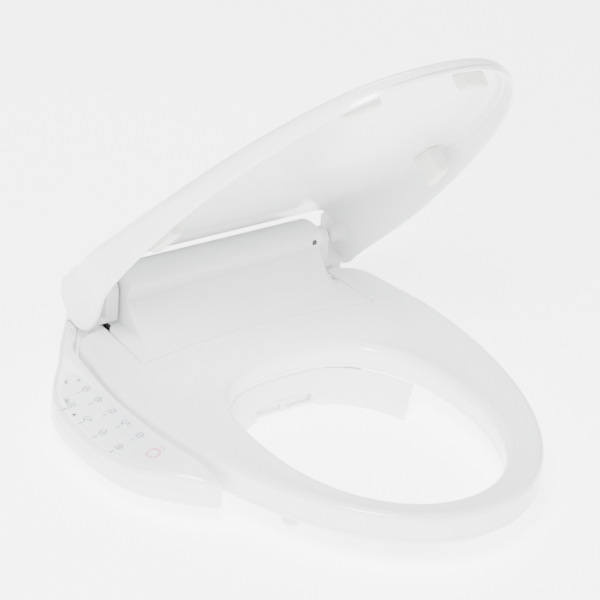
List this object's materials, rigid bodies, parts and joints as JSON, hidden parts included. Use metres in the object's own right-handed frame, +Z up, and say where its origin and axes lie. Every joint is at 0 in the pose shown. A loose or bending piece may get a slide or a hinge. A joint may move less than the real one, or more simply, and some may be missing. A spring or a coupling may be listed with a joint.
{
  "type": "electric bidet seat",
  "caption": "White electric bidet seat with a heated ring, raised lid, rear water and dryer unit, side key panel and sliding spray wands behind a skirt.",
  "frame": {"origin": "on the bowl rim plane, midway between the two bolt slots of the mounting plate", "axes": "+X away from the key arm, +Y to the rear wall, +Z up"},
  "size_m": [0.4305, 0.5303, 0.4357],
  "materials": {
    "gloss_white": "polished moulded ABS",
    "satin_white": "satin moulded polypropylene",
    "pale_rubber": "soft pale elastomer",
    "dark_rubber": "matt rubber",
    "grey_plastic": "matt grey polypropylene",
    "dark_plastic": "matt dark nylon",
    "clear_tube": "milky tube",
    "zinc_steel": "zinc plated steel",
    "nickel_plate": "nickel plate",
    "copper_element": "drawn copper",
    "circuit_board": "solder mask",
    "board_parts": "moulded parts",
    "heater_film": "polyimide film",
    "black_window": "tinted window",
    "key_film": "printed satin film",
    "stop_pink": "printed ring"
  },
  "bodies": {
    "plate": {"mounting_plate": "grey_plastic", "plate_gasket": "dark_rubber"},
    "base": {"base_pan": "satin_white", "base_pads": "dark_rubber", "top_cover": "gloss_white", "splash_skirt": "satin_white", "case_screws": "zinc_steel", "hinge_shafts": "zinc_steel", "shaft_holders": "dark_plastic", "lid_damper": "dark_plastic", "sensor_window": "black_window", "cord_gland": "dark_plastic", "inlet_elbow": "nickel_plate", "inlet_valve": "dark_plastic", "heater_tank": "grey_plastic", "tank_element": "copper_element", "water_pump": "dark_plastic", "water_pipes": "clear_tube", "main_board": "circuit_board", "board_parts": "board_parts", "arm_case": "satin_white", "arm_cover": "gloss_white", "key_film": "key_film", "key_board": "circuit_board", "status_lens": "black_window", "stop_ring": "stop_pink", "wand_cradle": "grey_plastic", "roller_motors": "zinc_steel", "dryer_housing": "grey_plastic", "dryer_duct": "grey_plastic", "filter_housing": "grey_plastic"},
    "left_roller": {"roller_left": "dark_plastic"},
    "right_roller": {"roller_right": "dark_plastic"},
    "left_wand": {"wand_left": "satin_white", "door_left": "gloss_white"},
    "right_wand": {"wand_right": "satin_white", "door_right": "gloss_white"},
    "dryer_rotor": {"dryer_impeller": "grey_plastic"},
    "filter_rotor": {"filter_impeller": "grey_plastic"},
    "cartridge": {"carbon_cartridge": "dark_plastic"},
    "button": {"release_button": "satin_white"},
    "seat": {"seat_top": "gloss_white", "seat_bottom": "satin_white", "seat_heater": "heater_film", "seat_bumpers": "pale_rubber", "seat_hinges": "satin_white", "seat_bushes": "dark_plastic"},
    "lid": {"lid_shell": "gloss_white", "lid_bosses": "satin_white", "lid_bumpers": "pale_rubber"}
  },
  "joints": [
    {"name": "base_slide", "type": "slide", "parent": "plate", "child": "base", "axis": [0, -1, 0], "range_m": [0, 0.09]},
    {"name": "seat_hinge", "type": "hinge", "parent": "base", "child": "seat", "pos_m": [0, -0.032, 0.08], "axis": [-1, 0, 0], "range_deg": [0, 95]},
    {"name": "lid_hinge", "type": "hinge", "parent": "seat", "child": "lid", "pos_m": [0, -0.032, 0.08], "axis": [1, 0, 0], "range_deg": [-52, 51]},
    {"name": "left_wand_slide", "type": "slide", "parent": "base", "child": "left_wand", "axis": [0, -0.9397, -0.342], "range_m": [0, 0.06]},
    {"name": "right_wand_slide", "type": "slide", "parent": "base", "child": "right_wand", "axis": [0, -0.9397, -0.342], "range_m": [0, 0.06]},
    {"name": "left_roller_spin", "type": "hinge", "parent": "base", "child": "left_roller", "pos_m": [-0.018, -0.0905, 0.02361], "axis": [1, 0, 0], "range_deg": [-580, 0]},
    {"name": "right_roller_spin", "type": "hinge", "parent": "base", "child": "right_roller", "pos_m": [0.018, -0.0905, 0.02361], "axis": [1, 0, 0], "range_deg": [-580, 0]},
    {"name": "dryer_spin", "type": "hinge", "parent": "base", "child": "dryer_rotor", "pos_m": [-0.074, -0.07, 0.026], "axis": [0, 0, 1], "continuous": true},
    {"name": "filter_spin", "type": "hinge", "parent": "base", "child": "filter_rotor", "pos_m": [0.074, -0.07, 0.026], "axis": [0, 0, 1], "continuous": true},
    {"name": "cartridge_slide", "type": "slide", "parent": "base", "child": "cartridge", "axis": [1, 0, 0], "range_m": [0, 0.036]},
    {"name": "button_press", "type": "slide", "parent": "base", "child": "button", "axis": [0, -1, 0], "range_m": [0, 0.003], "stiffness_N_per_m": 500, "springref_m": -0.003}
  ],
  "couplings": [
    {"joint": "left_roller_spin", "follows": "left_wand_slide", "rad_per_m": -166.67},
    {"joint": "right_roller_spin", "follows": "right_wand_slide", "rad_per_m": -166.67}
  ]
}
